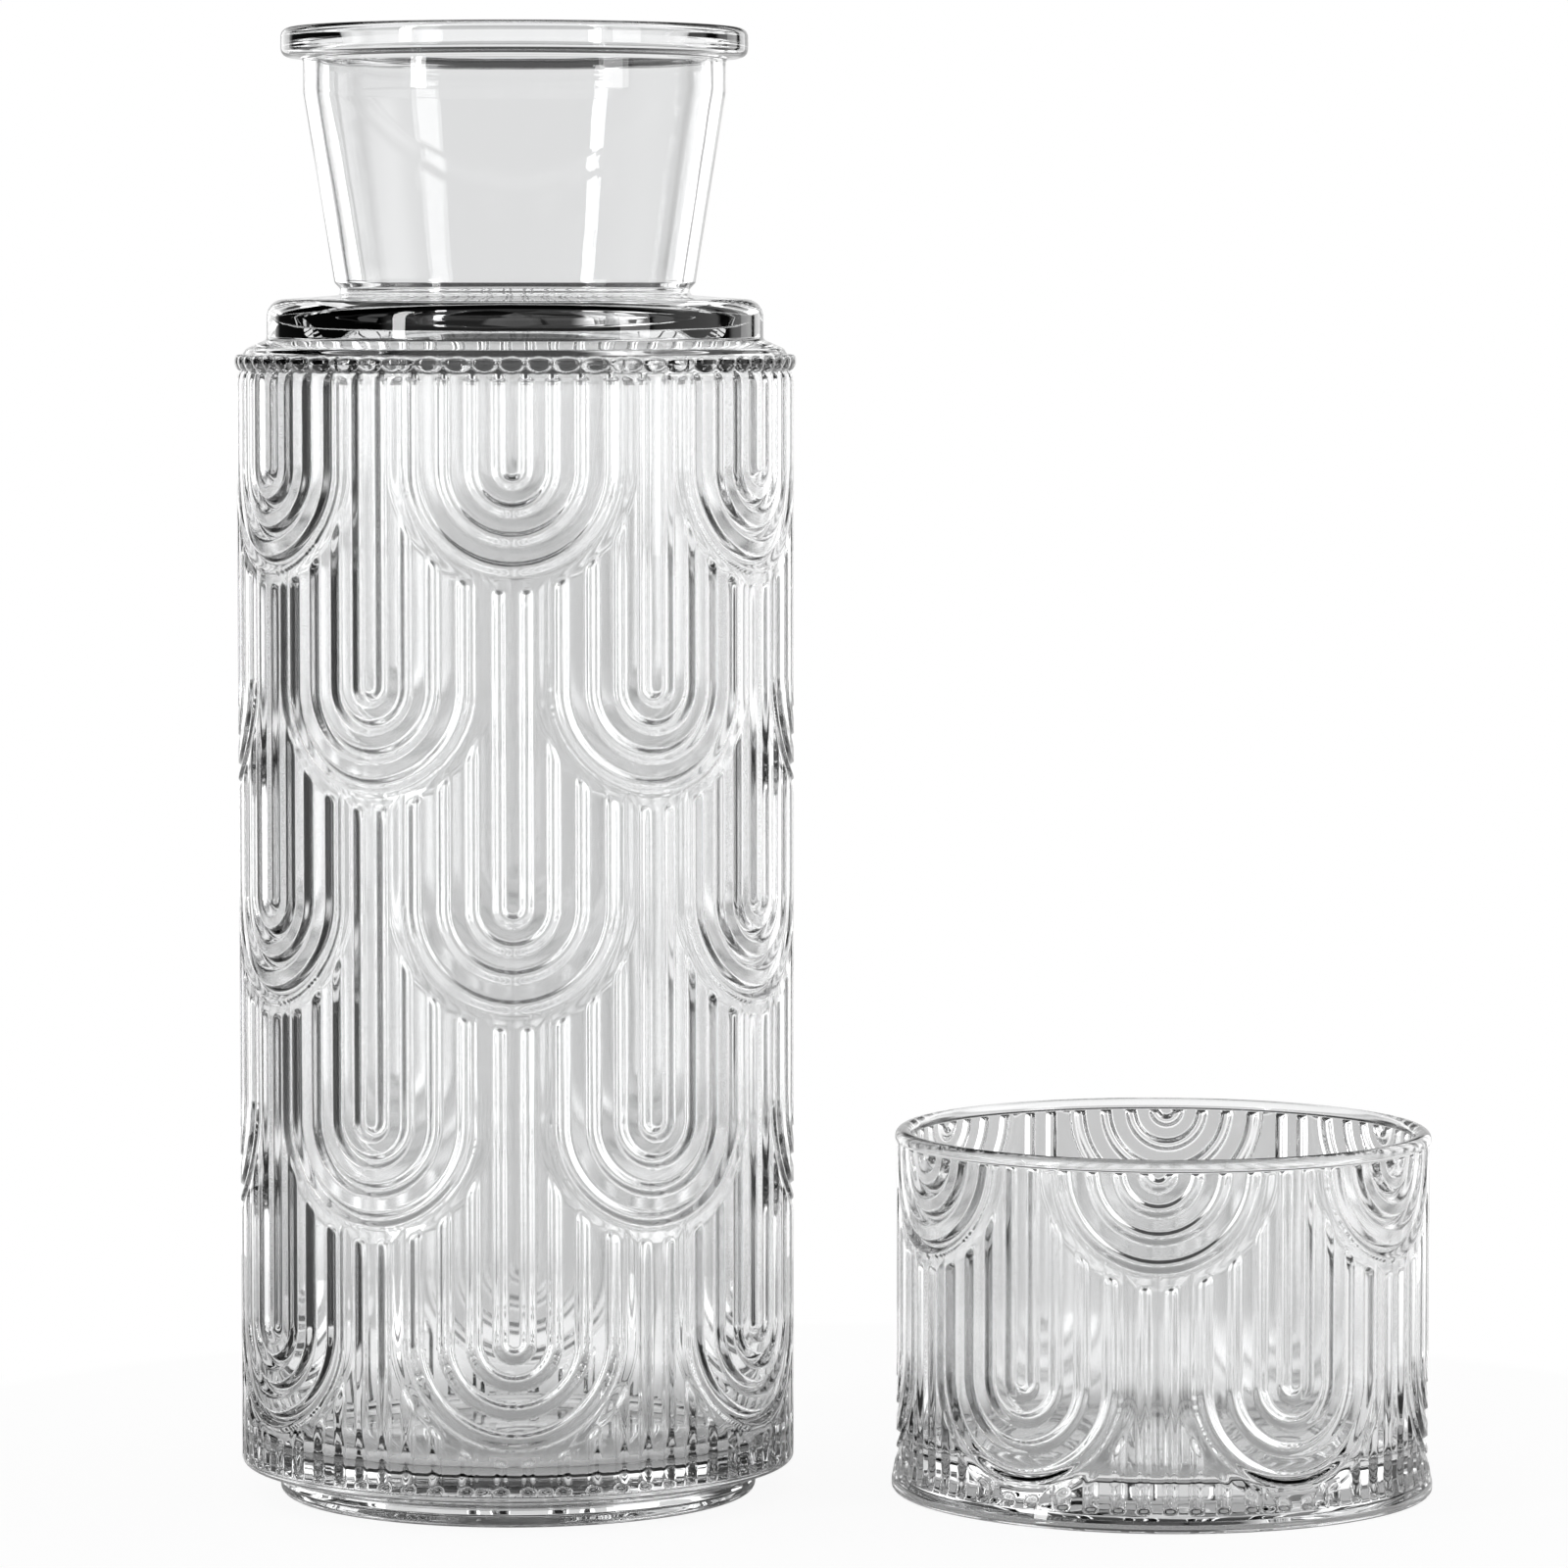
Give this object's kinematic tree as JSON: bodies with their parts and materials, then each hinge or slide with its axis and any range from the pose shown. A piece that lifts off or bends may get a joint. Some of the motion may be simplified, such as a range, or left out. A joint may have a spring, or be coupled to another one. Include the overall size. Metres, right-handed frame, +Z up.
{
  "type": "bedside carafe with tumbler",
  "caption": "Cylindrical glass bedside carafe with a collar and a flaring neck, and the low tumbler that covers it when turned over, both ribbed with overlapping arches.",
  "frame": {"origin": "centre of the carafe's foot, in the plane of the ring it stands on", "axes": "+Z up along the carafe's axis, +X from the carafe towards the tumbler standing beside it, -Y towards the viewer of the picture"},
  "size_m": [0.199, 0.0928, 0.2426],
  "materials": {
    "carafe_glass": "clear pressed glass, polished, ribbed outside and smooth inside",
    "tumbler_glass": "clear pressed glass, polished, ribbed outside and smooth inside"
  },
  "bodies": {
    "carafe": {"carafe": "carafe_glass"},
    "tumbler": {"tumbler": "tumbler_glass"}
  },
  "joints": [
    {"name": "tumbler_lift", "type": "slide", "parent": "carafe", "child": "tumbler", "axis": [0, 0, 1], "range_m": [0, 0.27]}
  ]
}
